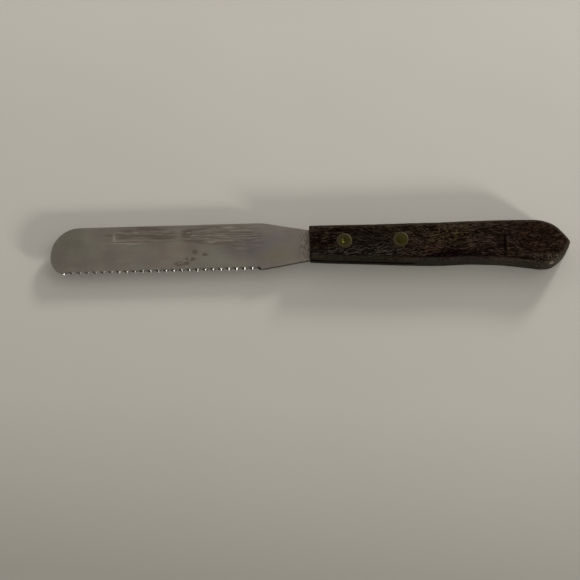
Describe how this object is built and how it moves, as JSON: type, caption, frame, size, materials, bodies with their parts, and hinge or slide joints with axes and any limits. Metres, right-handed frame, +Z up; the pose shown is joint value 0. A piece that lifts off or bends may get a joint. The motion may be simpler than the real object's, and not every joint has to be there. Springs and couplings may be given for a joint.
{
  "type": "butter knife",
  "caption": "Round-tipped butter knife with a scalloped edge and a slotted hardwood handle riveted over a half tang with brass rivets.",
  "frame": {"origin": "under the middle of the whole knife, on the table plane, with the knife lying flat on its handle", "axes": "+X along the knife from the tip to the butt, +Y across it towards the plain spine, +Z up from the table"},
  "size_m": [0.205, 0.0214, 0.009],
  "materials": {
    "steel": "satin",
    "wood": "satin",
    "brass": "satin"
  },
  "bodies": {
    "root": {"blade": "steel", "handle": "wood", "front_rivet_pin": "brass", "front_rivet_sleeve": "brass", "rear_rivet_pin": "brass", "rear_rivet_sleeve": "brass"}
  },
  "joints": []
}
